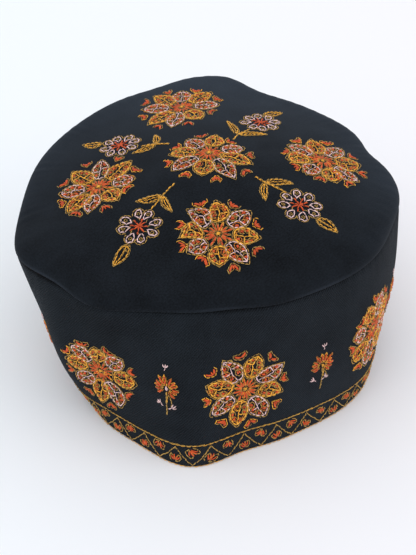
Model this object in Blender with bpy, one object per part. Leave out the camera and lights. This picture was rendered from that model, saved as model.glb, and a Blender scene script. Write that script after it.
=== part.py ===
"""Embroidered cap of black cotton twill: a domed crown panel sewn to a tall side wall.

The cap stands on its rim, crown up, +Z up, with its front towards -Y. Angles run
anticlockwise from +X, seen from above. Both pieces are walls of cloth, hollow below.
The rim is an oval, the seam round the crown is close to a circle, and a short table of
folds pushes the rim, the wall's middle and the seam in or out where the cloth bulges
and dents.
"""

from collections import namedtuple
from math import cos, exp, hypot, pi, radians, sin

import bmesh
import bpy
from mathutils import Vector

MM = 0.001
SEGMENTS = 90

# Cloth
CLOTH_THICKNESS = 2.0 * MM
HEM_THICKNESS = 3.0 * MM
HEM_HEIGHT = 13.5 * MM
HEM_TAPER = 2.0 * MM
SEAM_GAP = 0.3 * MM

# Rim: an oval whose long way runs nearly front to back
RIM_LONG_RADIUS = 94.5 * MM
RIM_SHORT_RADIUS = 82.5 * MM
RIM_TURN = radians(99)
RIM_CENTRE = Vector((0.5, 1.0)) * MM

# Side wall
WALL_HEIGHT = 87.5 * MM
WALL_BULGE = 1.0 * MM
SEAM_RADIUS = 88.5 * MM
SEAM_TILT_BACK = 0.5 * MM

# Crown: a soft tent over a head, with a rolled edge that stands a little past the seam
DOME_RISE = 17.5 * MM
DOME_ROUNDING = 0.32
DOME_LEAN = Vector((1.5, -2.5)) * MM
LEAN_GAIN = 2.6
ROLL_HEIGHT = 4.5 * MM
ROLL_WIDTH = 10.0 * MM
ROLL_OVERHANG = 1.5 * MM

# Looks
WALL_COLOUR = (0.009, 0.011, 0.014)
CROWN_COLOUR = (0.012, 0.014, 0.018)
CLOTH_ROUGHNESS = 0.9
SHARP_EDGE = radians(50)

# Rows of points: shares of the wall's height, of the roll's quarter turn and of the dome's radius
WALL_OUTER_ROWS = (0.0, 0.06, 0.125, 0.25, 0.38, 0.5, 0.62, 0.75, 0.88, 1.0)
WALL_INNER_ROWS = (1.0, 0.8, 0.6, 0.4, 0.22)
ROLL_OUTER_ROWS = (1.0, 0.84, 0.68, 0.5, 0.3)
ROLL_INNER_ROWS = (1.0, 0.66, 0.33)
DOME_OUTER_ROWS = (1.0, 0.86, 0.72, 0.58, 0.45, 0.33, 0.22, 0.12)
DOME_INNER_ROWS = (1.0, 0.8, 0.6, 0.42, 0.26, 0.12)

# How far each fold pushes the cloth out (or in, below 0), and lifts the seam, in millimetres.
# azimuth is the fold's middle and spread its reach on each side, in degrees.
Fold = namedtuple("Fold", "name azimuth spread rim middle seam lift")
FOLDS = (
    Fold("left_back", 160, 22, -8.0, -0.5, 0.0, 0.0),
    Fold("left_ear", 201, 16, -5.5, 1.0, 5.5, -0.5),
    Fold("left_hollow", 211, 12, -0.5, -1.0, 7.0, 1.5),
    Fold("left_face", 223, 9, -2.0, 8.5, 1.0, 1.0),
    Fold("left_brow", 235, 12, 0.5, -3.0, 6.0, -1.5),
    Fold("brow", 263, 13, 7.5, -0.5, -2.0, 0.0),
    Fold("front", 277, 10, -3.0, 0.0, -2.0, 1.0),
    Fold("right_brow", 296, 18, -4.5, -1.0, -1.5, 0.5),
    Fold("right_front", 328, 18, 2.5, 2.5, 2.5, 0.0),
    Fold("right_ear", 358, 13, -1.0, 4.0, 4.0, -1.0),
    Fold("right_dent", 19, 8, 0.0, 0.0, -2.5, -0.5),
    Fold("right_back", 48, 14, 0.0, 0.0, -1.5, -0.5),
    Fold("back_notch", 64, 8, 0.0, 0.0, -0.5, 0.0),
    Fold("back_dent", 82, 8, 0.0, 0.0, 4.0, 1.5),
    Fold("back_corner", 93, 12, 0.0, 0.0, 5.5, 2.5),
    Fold("back", 113, 18, 0.5, 0.0, 1.5, 1.5),
)


def fold_push(angle, level):
    """Sum of every fold's push at this angle: each is a bell curve round its azimuth."""
    push = 0.0
    for fold in FOLDS:
        away = (angle - radians(fold.azimuth) + pi) % (2 * pi) - pi
        push += getattr(fold, level) * exp(-((away / radians(fold.spread)) ** 2))
    return push * MM


def rim_point(angle):
    """Outer edge of the rim: the oval's radius at this angle plus the folds' push."""
    turned = angle - RIM_TURN
    oval = (RIM_LONG_RADIUS * RIM_SHORT_RADIUS
            / hypot(RIM_SHORT_RADIUS * cos(turned), RIM_LONG_RADIUS * sin(turned)))
    reach = oval + fold_push(angle, "rim")
    return RIM_CENTRE + reach * Vector((cos(angle), sin(angle)))


def seam_radius(angle):
    """Distance of the crown seam from the cap's axis."""
    return SEAM_RADIUS + fold_push(angle, "seam")


def seam_lift(angle):
    """Height of the seam above or below the wall's plain height."""
    return SEAM_TILT_BACK * sin(angle) + fold_push(angle, "lift")


def wall_point(angle, share, inset=0.0):
    """Point of the side wall, share 0 at the rim and 1 at the seam, inset towards the axis."""
    rim = rim_point(angle)
    seam = seam_radius(angle) * Vector((cos(angle), sin(angle)))
    plan = rim.lerp(seam, share)
    bulge = (WALL_BULGE + fold_push(angle, "middle")) * sin(pi * share)
    plan += plan.normalized() * (bulge - inset)
    height = (WALL_HEIGHT + seam_lift(angle)) * share
    return Vector((plan.x, plan.y, height))


def dome_height(angle, share):
    """Height of the crown's outer face where it isn't rolled, share 0 at its middle."""
    edge = DOME_ROUNDING
    slope = (hypot(share, edge) - edge) / (hypot(1.0, edge) - edge)
    lean = DOME_LEAN.dot(Vector((cos(angle), sin(angle)))) * LEAN_GAIN * share * (1 - share ** 2)
    lift = seam_lift(angle) * share ** 2
    return WALL_HEIGHT + ROLL_HEIGHT + DOME_RISE * (1 - slope) + lean + lift


def dome_point(angle, share, inset=0.0):
    """Point of the crown inside its rolled edge, share 1 where the roll begins."""
    full = seam_radius(angle)
    radius = (full - ROLL_WIDTH) * share
    height = dome_height(angle, radius / full) - inset
    return Vector((radius * cos(angle), radius * sin(angle), height))


def roll_point(angle, share, inset=0.0):
    """Point of the rolled edge, a quarter of an ellipse from the seam (share 1) to the dome (0)."""
    full = seam_radius(angle)
    turn = share * pi / 2
    width = ROLL_WIDTH - inset
    radius = full - inset - width * (1 - sin(turn))
    drop = (ROLL_HEIGHT - inset) * (1 - cos(turn))
    height = dome_height(angle, min(radius / full, 1.0)) - inset - drop
    inward = (full - inset - radius) / width
    radius += ROLL_OVERHANG * sin(pi * inward) * (1 - inward)
    return Vector((radius * cos(angle), radius * sin(angle), height + SEAM_GAP))


def ring(point_at, share, inset=0.0):
    """One closed row of points round the cap."""
    return [point_at(2 * pi * step / SEGMENTS, share, inset) for step in range(SEGMENTS)]


def wall_rings():
    """Rows round the wall's section: up the outside, over the seam edge, down the inside, hem."""
    rings = [ring(wall_point, share) for share in WALL_OUTER_ROWS]
    rings += [ring(wall_point, share, CLOTH_THICKNESS) for share in WALL_INNER_ROWS]
    rings.append(ring(wall_point, (HEM_HEIGHT + HEM_TAPER) / WALL_HEIGHT, CLOTH_THICKNESS))
    rings.append(ring(wall_point, HEM_HEIGHT / WALL_HEIGHT, HEM_THICKNESS))
    rings.append(ring(wall_point, 0.0, HEM_THICKNESS))
    return rings


def crown_rings():
    """Rows of the crown: from the outside's middle to the seam edge and back along the inside."""
    rings = [ring(dome_point, share) for share in reversed(DOME_OUTER_ROWS)]
    rings += [ring(roll_point, share) for share in reversed(ROLL_OUTER_ROWS)]
    rings += [ring(roll_point, share, CLOTH_THICKNESS) for share in ROLL_INNER_ROWS]
    rings += [ring(dome_point, share, CLOTH_THICKNESS) for share in DOME_INNER_ROWS]
    return rings


def black_twill(name, colour):
    """Matt black cotton cloth."""
    material = bpy.data.materials.new(name)
    material.use_nodes = True
    shader = material.node_tree.nodes["Principled BSDF"]
    shader.inputs["Base Color"].default_value = (*colour, 1.0)
    shader.inputs["Roughness"].default_value = CLOTH_ROUGHNESS
    shader.inputs["Metallic"].default_value = 0.0
    return material


def add_solid(name, rings, tips, material, parent):
    """Join the rings in order with four-sided faces into one closed object.

    With two tips the first and last rings close in a fan of triangles, otherwise the
    last ring joins the first.
    """
    mesh = bmesh.new()
    rows = [[mesh.verts.new(point) for point in points] for points in rings]
    pairs = list(zip(rows, rows[1:]))
    if not tips:
        pairs.append((rows[-1], rows[0]))
    for near, far in pairs:
        for step in range(SEGMENTS):
            after = (step + 1) % SEGMENTS
            mesh.faces.new((near[step], near[after], far[after], far[step]))
    for tip, row in zip(tips, (rows[0], rows[-1])):
        middle = mesh.verts.new(tip)
        for step in range(SEGMENTS):
            mesh.faces.new((middle, row[step], row[(step + 1) % SEGMENTS]))
    bmesh.ops.recalc_face_normals(mesh, faces=mesh.faces)
    data = bpy.data.meshes.new(name)
    mesh.to_mesh(data)
    mesh.free()
    data.shade_smooth()
    data.set_sharp_from_angle(angle=SHARP_EDGE)
    data.materials.append(material)
    solid = bpy.data.objects.new(name, data)
    solid.parent = parent
    bpy.context.collection.objects.link(solid)
    return solid


def plan_middle(rings):
    """Middle of the plan's bounding box, which becomes the origin."""
    points = [point for points in rings for point in points]
    across = [point.x for point in points]
    along = [point.y for point in points]
    return Vector(((min(across) + max(across)) / 2, (min(along) + max(along)) / 2, 0.0))


def build_cap():
    """Make the two pieces and stand them on the ground with their plan's middle at the origin."""
    for old in list(bpy.data.objects):
        bpy.data.objects.remove(old)
    wall = wall_rings()
    crown = crown_rings()
    cap = bpy.data.objects.new("cap", None)
    bpy.context.collection.objects.link(cap)
    cap.location = -plan_middle(wall + crown)
    crown_top = dome_height(0.0, 0.0)
    tips = (Vector((0.0, 0.0, crown_top)), Vector((0.0, 0.0, crown_top - CLOTH_THICKNESS)))
    add_solid("side_wall", wall, (), black_twill("wall_twill", WALL_COLOUR), cap)
    add_solid("crown_panel", crown, tips, black_twill("crown_twill", CROWN_COLOUR), cap)


build_cap()
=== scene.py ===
"""Looks of the embroidered cap: black cotton twill worked with flowers in silk thread.

Lengths are millimetres until a mesh is made. Angles run anticlockwise from +X, seen from
above, and the cap's front is towards -Y. Cloth is made by the same formulas as the solids,
with soft creases added. Embroidery is drawn on two flat charts: the crown's is its plan,
and the side wall's is the way round it (s, from the front, rightwards) by the height (h).
"""

from collections import namedtuple
from math import cos, pi, radians, sin

import bmesh
import bpy
import numpy as np
from mathutils import Matrix, Vector

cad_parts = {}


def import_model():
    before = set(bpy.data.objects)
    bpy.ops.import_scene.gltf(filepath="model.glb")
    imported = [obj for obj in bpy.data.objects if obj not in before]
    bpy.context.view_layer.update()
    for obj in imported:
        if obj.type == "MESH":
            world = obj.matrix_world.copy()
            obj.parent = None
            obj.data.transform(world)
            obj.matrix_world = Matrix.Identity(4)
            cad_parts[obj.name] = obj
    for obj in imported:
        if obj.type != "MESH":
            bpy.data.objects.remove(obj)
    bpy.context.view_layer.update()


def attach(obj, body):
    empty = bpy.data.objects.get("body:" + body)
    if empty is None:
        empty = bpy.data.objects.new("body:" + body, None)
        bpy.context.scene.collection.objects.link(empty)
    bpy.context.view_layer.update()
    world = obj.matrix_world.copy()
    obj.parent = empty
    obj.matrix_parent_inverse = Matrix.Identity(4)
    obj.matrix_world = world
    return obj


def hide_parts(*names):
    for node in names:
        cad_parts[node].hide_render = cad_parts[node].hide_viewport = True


MM = 0.001

# Cloth
CLOTH_THICKNESS = 2.0
HEM_THICKNESS = 3.0
HEM_HEIGHT = 13.5
HEM_TAPER = 2.0
SEAM_GAP = 0.3
SEAM_SINK = 0.5
COLUMNS = 540
FRONT_ANGLE = 1.5 * pi
WALL_RIB_TILT = radians(50)
CROWN_RIB_TILT = radians(42)

# Rim, wall and seam
RIM_LONG_RADIUS = 94.5
RIM_SHORT_RADIUS = 82.5
RIM_TURN = radians(99)
RIM_CENTRE = np.array((0.5, 1.0))
WALL_HEIGHT = 87.5
WALL_BULGE = 1.0
SEAM_RADIUS = 88.5
SEAM_TILT_BACK = 0.5

# Crown
DOME_RISE = 17.5
DOME_ROUNDING = 0.32
DOME_LEAN = np.array((1.5, -2.5))
LEAN_GAIN = 2.6
ROLL_HEIGHT = 4.5
ROLL_WIDTH = 10.0
ROLL_OVERHANG = 1.5

# Rows of points of the solids' outer faces, from which the middle of the cap is worked out
SOLID_SEGMENTS = 90
WALL_OUTER_ROWS = (0.0, 0.06, 0.125, 0.25, 0.38, 0.5, 0.62, 0.75, 0.88, 1.0)
ROLL_OUTER_ROWS = (1.0, 0.84, 0.68, 0.5, 0.3)

# How far each fold pushes the cloth out (or in, below 0), and lifts the seam.
# azimuth is the fold's middle and spread its reach on each side, in degrees.
Fold = namedtuple("Fold", "name azimuth spread rim middle seam lift")
FOLDS = (
    Fold("left_back", 160, 22, -8.0, -0.5, 0.0, 0.0),
    Fold("left_ear", 201, 16, -5.5, 1.0, 5.5, -0.5),
    Fold("left_hollow", 211, 12, -0.5, -1.0, 7.0, 1.5),
    Fold("left_face", 223, 9, -2.0, 8.5, 1.0, 1.0),
    Fold("left_brow", 235, 12, 0.5, -3.0, 6.0, -1.5),
    Fold("brow", 263, 13, 7.5, -0.5, -2.0, 0.0),
    Fold("front", 277, 10, -3.0, 0.0, -2.0, 1.0),
    Fold("right_brow", 296, 18, -4.5, -1.0, -1.5, 0.5),
    Fold("right_front", 328, 18, 2.5, 2.5, 2.5, 0.0),
    Fold("right_ear", 358, 13, -1.0, 4.0, 4.0, -1.0),
    Fold("right_dent", 19, 8, 0.0, 0.0, -2.5, -0.5),
    Fold("right_back", 48, 14, 0.0, 0.0, -1.5, -0.5),
    Fold("back_notch", 64, 8, 0.0, 0.0, -0.5, 0.0),
    Fold("back_dent", 82, 8, 0.0, 0.0, 4.0, 1.5),
    Fold("back_corner", 93, 12, 0.0, 0.0, 5.5, 2.5),
    Fold("back", 113, 18, 0.5, 0.0, 1.5, 1.5),
)

# Creases: numbers of ripples round the cap, how strong they are and how far they reach
PUCKER_COUNTS = (61, 74, 89, 103)
PUCKER_STRENGTH = 0.06
PUCKER_REACH = 7.0
SWELL_COUNTS = (4, 7, 9, 13)
SWELL_STRENGTH = 0.28
CROWN_SWELL_STRENGTH = 0.18
TUCK_DEPTH = 0.9
TUCK_REACH = 1.8
RIM_EDGE_SHARE = 0.013
RIM_EDGE_INSET = 0.7
HEM_EDGE_INSET = 0.6

# Wear and painted light: how much paler the rubbed rim is, how dark the painted shade under the seam is,
# and how pale the painted highlight and painted band along the crown's roll are
RIM_RUB_REACH = 1.5
SEAM_SHADE = 3.0
SEAM_SHADE_REACH = 1.1
ROLL_HIGHLIGHT = 0.9
ROLL_HIGHLIGHT_HEIGHT = 0.8
ROLL_HIGHLIGHT_REACH = 0.7
ROLL_LIGHT_BAND = 0.2
ROLL_LIGHT_BAND_REACH = 6.0

# Soft patches where the cloth is paler (or darker, below 0): on the crown at (x, y), on the
# wall at (s, h), each with its reach along both
Patch = namedtuple("Patch", "middle reach strength")
# Painted sheen: the crown paler towards its back and its sides, and a darker patch at the front
CROWN_PAINTED_LIGHT_PATCHES = (
    Patch((0, 102), (140, 60), 5.6),
    Patch((96, 24), (34, 56), 3.4),
    Patch((-96, 34), (26, 45), 2.6),
    Patch((5, -62), (68, 22), -0.55),
)
# Painted shadow under the seam on the left, painted light low on the right, and two paler patches
WALL_PAINTED_LIGHT_PATCHES = (
    Patch((-62, 76), (26, 14), -0.6),
    Patch((60, 20), (35, 16), 0.8),
    Patch((10, 5), (60, 12), 0.6),
    Patch((24, 45), (28, 50), 0.2),
)

# Twill: its colour between and on the ribs, and how much paler the ribs are
TWILL_DARK = (0.0016, 0.0022, 0.0030)
CROWN_TWILL_PALE = (0.0121, 0.0159, 0.0214)
# The wall's pale is set a little paler than the crown's, as painted light
WALL_TWILL_PALE = (0.0127, 0.0167, 0.0215)
CROWN_RIB_CONTRAST = 0.08
WALL_RIB_CONTRAST = 0.45
RIB_SPACING = 1.05
YARN_LENGTH = 0.9

# Threads, in the order of their material slots
GOLD, OLIVE, LILAC, RED, AMBER = range(5)
THREADS = (
    ("gold_thread", (0.84, 0.40, 0.035)),
    ("olive_thread", (0.40, 0.235, 0.052)),
    ("lilac_thread", (0.80, 0.55, 0.53)),
    ("red_thread", (0.60, 0.08, 0.012)),
    ("amber_thread", (0.50, 0.17, 0.018)),
)

# Stitches: their tones, of which the wall's rosettes and border have paler ones as painted light, and
# the rings of their spindles as shares of the length, with how thick and how high each ring is
TONES = 8
WALL_PAINTED_LIGHT_TONES = 2
STITCH_SIDES = 5
STITCH_SHARES = np.array((0.0, 0.3, 0.7, 1.0))
STITCH_TAPER = np.array((0.65, 1.0, 1.0, 0.65))
STITCH_RISE = np.array((-0.25, 0.16, 0.16, -0.25))
HAND_ERROR = 0.13

# Petals: where they begin, and widths of thread and sizes of buds on the gold and lilac ones
PETAL_FOOT = 6.3
PETAL_OUTLINE = {GOLD: 0.68, LILAC: 0.56}
PETAL_VEIN = {GOLD: 0.58, LILAC: 0.46}
BUD_SCALE = {GOLD: 0.76, LILAC: 0.9}

# Round islands of the crown's outer and inner faces on its baked map
Island = namedtuple("Island", "middle radius")
OUTER_ISLAND = Island((0.37, 0.63), 0.355)
INNER_ISLAND = Island((0.87, 0.13), 0.115)

# Studio, in metres: lights that all face a point inside the cap, the sky and the floor
Light = namedtuple("Light", "name place strength size colour")
LIGHTS = (
    Light("overhead", (-0.2, -0.4, 1.9), 8, 1.8, (1.0, 0.99, 0.98)),
    Light("cool_side", (-1.5, -0.6, 1.3), 1.6, 1.4, (0.80, 0.90, 1.0)),
    Light("warm_side", (1.5, -0.6, 1.3), 4, 1.4, (1.0, 0.90, 0.88)),
)
LIGHTS_AIM = Vector((0, 0, 0.05))
SKY_COLOUR = (0.92, 0.95, 1.0, 1.0)
SKY_STRENGTH = 0.88
FLOOR_REACH = 4.0
FLOOR_LEFT = (0.92, 0.965, 0.985, 1.0)
FLOOR_RIGHT = (0.96, 0.93, 0.945, 1.0)

# Camera, fitted to the picture, with its distance and target in millimetres
CAMERA_ELEVATION = radians(40.841)
CAMERA_ROLL = radians(-1.137)
CAMERA_DISTANCE = 700.0
CAMERA_TARGET = Vector((-0.943, 0.0, 33.424))
FOCAL_LENGTH_PIXELS = 1365.999
PICTURE_HEIGHT_PIXELS = 555
SENSOR_WIDTH = 36.0

# Flower charts: each petal as its angle in degrees, its reach from the middle, its bend to the
# left and half its width
Flower = namedtuple("Flower", "name middle first petals")
CROWN_ROSETTES = (
    Flower("crown_rosette_middle", (0.8, 3.2), GOLD, (
        (335, 22.9, 0.4, 4.9), (18, 18.3, 0.0, 4.6), (80, 20.0, -0.7, 4.9), (124, 19.2, 0.0, 4.7),
        (173, 20.0, -1.3, 4.8), (215, 22.1, -1.2, 4.5), (258, 19.4, 0.0, 5.2), (299, 25.1, 0.0, 4.7))),
    Flower("crown_rosette_front", (4.1, -51.2), GOLD, (
        (353, 19.6, 0.0, 4.9), (40, 20.2, 0.0, 4.8), (93, 19.6, -1.3, 4.7), (134, 21.0, -2.0, 4.5),
        (183, 18.2, -4.0, 4.6), (213, 17.1, 0.0, 4.6), (270, 17.6, 0.0, 4.9), (310, 21.0, 0.0, 4.4))),
    Flower("crown_rosette_back", (-12.7, 59.5), LILAC, (
        (358, 19.8, 0.0, 4.9), (42, 21.4, 0.7, 5.0), (90, 18.3, 0.0, 5.2), (134, 21.9, -0.6, 5.0),
        (175, 21.2, 0.0, 5.1), (225, 24.4, 0.0, 5.3), (258, 24.6, 0.0, 4.6), (300, 20.5, 0.0, 5.2))),
    Flower("crown_rosette_left", (-52.0, -10.1), LILAC, (
        (4, 17.9, 0.0, 4.9), (49, 23.6, 0.5, 5.3), (89, 24.2, 0.0, 4.3), (128, 22.8, 0.0, 5.2),
        (178, 19.6, 0.0, 5.2), (229, 22.3, -0.5, 5.0), (259, 21.5, 0.0, 4.1), (304, 18.3, 0.0, 5.1))),
    Flower("crown_rosette_right", (55.3, 4.8), GOLD, (
        (9, 19.6, -0.6, 6.2), (59, 21.0, 0.0, 4.9), (101, 22.0, -0.4, 4.9), (144, 20.6, -1.5, 4.8),
        (189, 18.2, -1.9, 5.4), (238, 16.6, -0.6, 4.6), (289, 17.4, 0.0, 5.1), (325, 20.9, -1.1, 4.0))),
)
FRONT_PETALS = (
    (340, 19.7, 1.3, 5.0), (33, 22.5, -0.8, 4.6), (72, 21.8, 0.3, 4.5), (119, 22.8, -0.4, 5.1),
    (159, 20.9, 1.0, 5.0), (210, 20.5, -0.5, 4.6), (257, 22.8, -0.5, 4.6), (295, 23.1, 0.0, 4.9))
WALL_ROSETTES = (
    Flower("wall_rosette_1", (15.9, 39.8), GOLD, FRONT_PETALS),
    Flower("wall_rosette_2", (87.6, 45.3), LILAC, (
        (60, 20.0, 0.0, 4.8), (106, 17.0, 0.0, 5.0), (167, 15.2, 0.0, 4.8), (224, 20.0, 0.0, 5.0),
        (262, 24.0, 0.0, 4.8), (300, 22.0, 0.0, 4.8), (340, 20.0, 0.0, 4.8), (22, 20.5, 0.0, 4.9))),
    Flower("wall_rosette_8", (-56.6, 41.6), GOLD, (
        (358, 19.6, 0.0, 5.3), (46, 18.4, 0.3, 4.5), (95, 16.2, -1.0, 4.6), (134, 20.0, -1.0, 4.2),
        (172, 18.5, -0.5, 4.9), (222, 19.5, 0.0, 4.8), (263, 25.5, 0.0, 4.5), (293, 23.5, 1.5, 4.9))),
)

# Sprig charts: the flower's middle and the thread of its heart, and each spot as its angle in
# degrees and its distance from that middle
Sprig = namedtuple("Sprig", "name middle heart spots")
CROWN_SPRIGS = (
    Sprig("crown_sprig_front_left", (-31.8, -43.3), RED, {
        "fork": (59, 20.2), "end": (57, 29.5), "leaf": (99, 16.0), "small_leaf": (22, 16.4),
        "stem": (61, 11.1), "outer_tip": (240, 23.8), "outer_foot": (242, 10.7)}),
    Sprig("crown_sprig_front_right", (41.8, -31.4), RED, {
        "fork": (142, 19.5), "end": (142, 25.3), "leaf": (95, 14.1), "small_leaf": (182, 15.4),
        "stem": (131, 8.8), "outer_tip": (321, 22.2), "outer_foot": (314, 10.4)}),
    Sprig("crown_sprig_back_left", (-43.1, 24.9), RED, {
        "fork": (341, 19.0), "end": (342, 25.6), "leaf": (299, 12.5), "small_leaf": (16, 17.8),
        "stem": (333, 12.1), "outer_tip": (159, 21.1), "outer_foot": (153, 10.3)}),
    Sprig("crown_sprig_back_right", (27.1, 40.2), RED, {
        "fork": (233, 20.1), "end": (237, 26.6), "leaf": (283, 14.6), "small_leaf": (179, 17.4),
        "stem": (237, 11.5), "outer_tip": (50, 19.1), "outer_foot": (78, 8.1)}),
)
WALL_SPRIGS = (
    Sprig("wall_sprig_8", (-21.9, 44.7), LILAC, {
        "stem": (271, 15.4), "side_stem": (283, 10.5), "bud": (92, 11.6),
        "left_twig": (254, 9.7), "right_twig": (284, 11.1)}),
    Sprig("wall_sprig_1", (55.1, 40.7), GOLD, {
        "stem": (266, 15.7), "side_stem": (284, 10.0), "bud": (85, 11.2),
        "left_twig": (243, 9.2), "right_twig": (278, 8.8)}),
)

# Rosettes and sprigs of the rest of the wall, and how unlike one another they are
HIDDEN_ROSETTES = 5
HIDDEN_ROSETTE_HEIGHT = 42.0
HIDDEN_SPRIG_HEIGHT = 43.0
HIDDEN_SPRIG_SHIFT = -2.5
HEIGHT_ERROR = 1.2
PETAL_ERRORS = (5, 1, 1, 0.2)
HIDDEN_SPRIG_SPOTS = {
    "stem": (268, 15.6), "side_stem": (281, 10.5), "bud": (88, 11.2),
    "left_twig": (248, 9.5), "right_twig": (281, 10.0)}


def fold_push(angle, level):
    """Sum of every fold's push at this angle: each is a bell curve round its azimuth."""
    push = np.zeros_like(angle)
    for fold in FOLDS:
        away = (angle - radians(fold.azimuth) + pi) % (2 * pi) - pi
        push = push + getattr(fold, level) * np.exp(-((away / radians(fold.spread)) ** 2))
    return push


def outward(angle):
    """Level direction away from the axis."""
    return pairs(np.cos(angle), np.sin(angle))


def pairs(first, second):
    """Two arrays side by side, as pairs."""
    return np.stack(np.broadcast_arrays(first, second), axis=-1)


def lifted(plan, height):
    """Points of a plan with their heights."""
    return np.concatenate((plan, height[..., None]), axis=-1)


def unit(vectors):
    """The same directions with length one."""
    return vectors / np.linalg.norm(vectors, axis=-1, keepdims=True)


def rim_point(angle):
    """Outer edge of the rim: the oval's radius at this angle plus the folds' push."""
    away = angle - RIM_TURN
    oval = RIM_LONG_RADIUS * RIM_SHORT_RADIUS / np.hypot(
        RIM_SHORT_RADIUS * np.cos(away), RIM_LONG_RADIUS * np.sin(away))
    return RIM_CENTRE + (oval + fold_push(angle, "rim"))[..., None] * outward(angle)


def seam_radius(angle):
    """Distance of the crown seam from the cap's axis."""
    return SEAM_RADIUS + fold_push(angle, "seam")


def seam_lift(angle):
    """Height of the seam above or below the wall's plain height."""
    return SEAM_TILT_BACK * np.sin(angle) + fold_push(angle, "lift")


def wall_point(angle, share, inset=0.0):
    """Point of the side wall, share 0 at the rim and 1 at the seam, inset towards the axis.

    The plan runs straight from rim to seam, plus a bulge that is a half sine of the share.
    """
    angle, share, inset = np.broadcast_arrays(angle, share, inset)
    rim = rim_point(angle)
    seam = seam_radius(angle)[..., None] * outward(angle)
    plan = rim + (seam - rim) * share[..., None]
    bulge = (WALL_BULGE + fold_push(angle, "middle")) * np.sin(pi * share)
    plan = plan + unit(plan) * (bulge - inset)[..., None]
    height = (WALL_HEIGHT + seam_lift(angle)) * share
    return lifted(plan, height)


def dome_height(angle, share):
    """Height of the crown's outer face where it isn't rolled, share 0 at its middle."""
    edge = DOME_ROUNDING
    slope = (np.hypot(share, edge) - edge) / (np.hypot(1.0, edge) - edge)
    lean = (outward(angle) @ DOME_LEAN) * LEAN_GAIN * share * (1 - share ** 2)
    return WALL_HEIGHT + ROLL_HEIGHT + DOME_RISE * (1 - slope) + lean + seam_lift(angle) * share ** 2


def dome_point(angle, share, inset=0.0):
    """Point of the crown inside its rolled edge, share 1 where the roll begins."""
    full = seam_radius(angle)
    radius = (full - ROLL_WIDTH) * share
    height = dome_height(angle, radius / full) - inset
    return lifted(radius[..., None] * outward(angle), height)


def roll_point(angle, share, inset=0.0):
    """Point of the rolled edge, a quarter of an ellipse from the seam (share 1) to the dome (0).

    Its edge sinks a little into the wall's, so that no light passes through the seam.
    """
    full = seam_radius(angle)
    turn = share * pi / 2
    width = ROLL_WIDTH - inset
    radius = full - inset - width * (1 - np.sin(turn))
    drop = (ROLL_HEIGHT - inset) * (1 - np.cos(turn))
    height = dome_height(angle, np.minimum(radius / full, 1.0)) - inset - drop
    inward = (full - inset - radius) / width
    radius = radius + ROLL_OVERHANG * np.sin(pi * inward) * (1 - inward)
    height = height + SEAM_GAP * np.minimum(share / 0.3, 1.0) - SEAM_SINK * share ** 6
    return lifted(radius[..., None] * outward(angle), height)


def cap_middle():
    """Middle of the plan's box, worked out from the same rows of points as the solids."""
    angle = np.arange(SOLID_SEGMENTS) * 2 * pi / SOLID_SEGMENTS
    rows = [wall_point(angle, share) for share in WALL_OUTER_ROWS]
    rows += [roll_point(angle, share) for share in ROLL_OUTER_ROWS]
    points = np.concatenate(rows)[:, :2]
    return np.append((points.min(axis=0) + points.max(axis=0)) / 2, 0.0)


def ripple(angle, counts, seed, slant=0.0):
    """Sum of cosines with these numbers of waves round the cap and seeded phases."""
    phases = np.random.default_rng(seed).uniform(0, 2 * pi, len(counts))
    return sum(np.cos(count * angle + phase + slant) for count, phase in zip(counts, phases))


def patch_tone(patches, across, along):
    """Sum of the soft patches at these places, each a bell over its oval."""
    tone = np.zeros(np.broadcast(across, along).shape)
    for patch in patches:
        right = (across - patch.middle[0]) / patch.reach[0]
        up = (along - patch.middle[1]) / patch.reach[1]
        tone += patch.strength * np.exp(-(right ** 2) - up ** 2)
    return tone


def wall_relief(angle, share):
    """Creases of the wall: puckers that fade below the seam, its tuck, and long soft swells."""
    below = (1 - share) * WALL_HEIGHT
    pucker = PUCKER_STRENGTH * ripple(angle, PUCKER_COUNTS, 11) * np.exp(-below / PUCKER_REACH)
    swell = SWELL_STRENGTH * ripple(angle, SWELL_COUNTS, 12, 3.0 * share)
    tuck = TUCK_DEPTH * np.exp(-((below / TUCK_REACH) ** 2))
    return pucker - tuck + swell * np.sin(pi * np.clip(share, 0, 1)) ** 0.7


def crown_relief(angle, radius):
    """Creases of the crown: puckers that fade away from the roll, and two crossed soft waves."""
    inside = seam_radius(angle) - ROLL_WIDTH / 2 - radius
    pucker = PUCKER_STRENGTH * ripple(angle, PUCKER_COUNTS, 13) * np.exp(-np.abs(inside) / PUCKER_REACH)
    across = radius * np.cos(angle)
    along = radius * np.sin(angle)
    swell = np.cos(across / 11 + along / 17 + 0.6) + np.cos(along / 9 - across / 23 + 2.1)
    return pucker + CROWN_SWELL_STRENGTH * swell * np.clip(radius / 20, 0, 1)


MIDDLE = cap_middle()

# The way round on the wall's chart, measured a little below its middle, and the border's zigzag
ROUND_SHARE = 0.45
ROUND_STEPS = 2161
ROUND_ANGLES = FRONT_ANGLE + np.linspace(0, 2 * pi, ROUND_STEPS)
ROUND_POINTS = wall_point(ROUND_ANGLES, ROUND_SHARE)[:, :2]
ROUND_LENGTHS = np.append(0, np.cumsum(np.hypot(*np.diff(ROUND_POINTS, axis=0).T)))
ROUND = ROUND_LENGTHS[-1]
BORDER_PERIODS = 35
BORDER_FRONT_FOOT = 6.6
FEET_BEFORE_FRONT = 3
BORDER_COUNT = np.arange(BORDER_PERIODS + 1) - FEET_BEFORE_FRONT
BORDER_FEET = BORDER_COUNT * ROUND / BORDER_PERIODS + BORDER_FRONT_FOOT
BORDER_PEAKS = (BORDER_FEET[1:] + BORDER_FEET[:-1]) / 2
BORDER_TOP = 13.3
BORDER_SECOND_LINE = 13.05
RIM_LINE = 0.6


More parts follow.
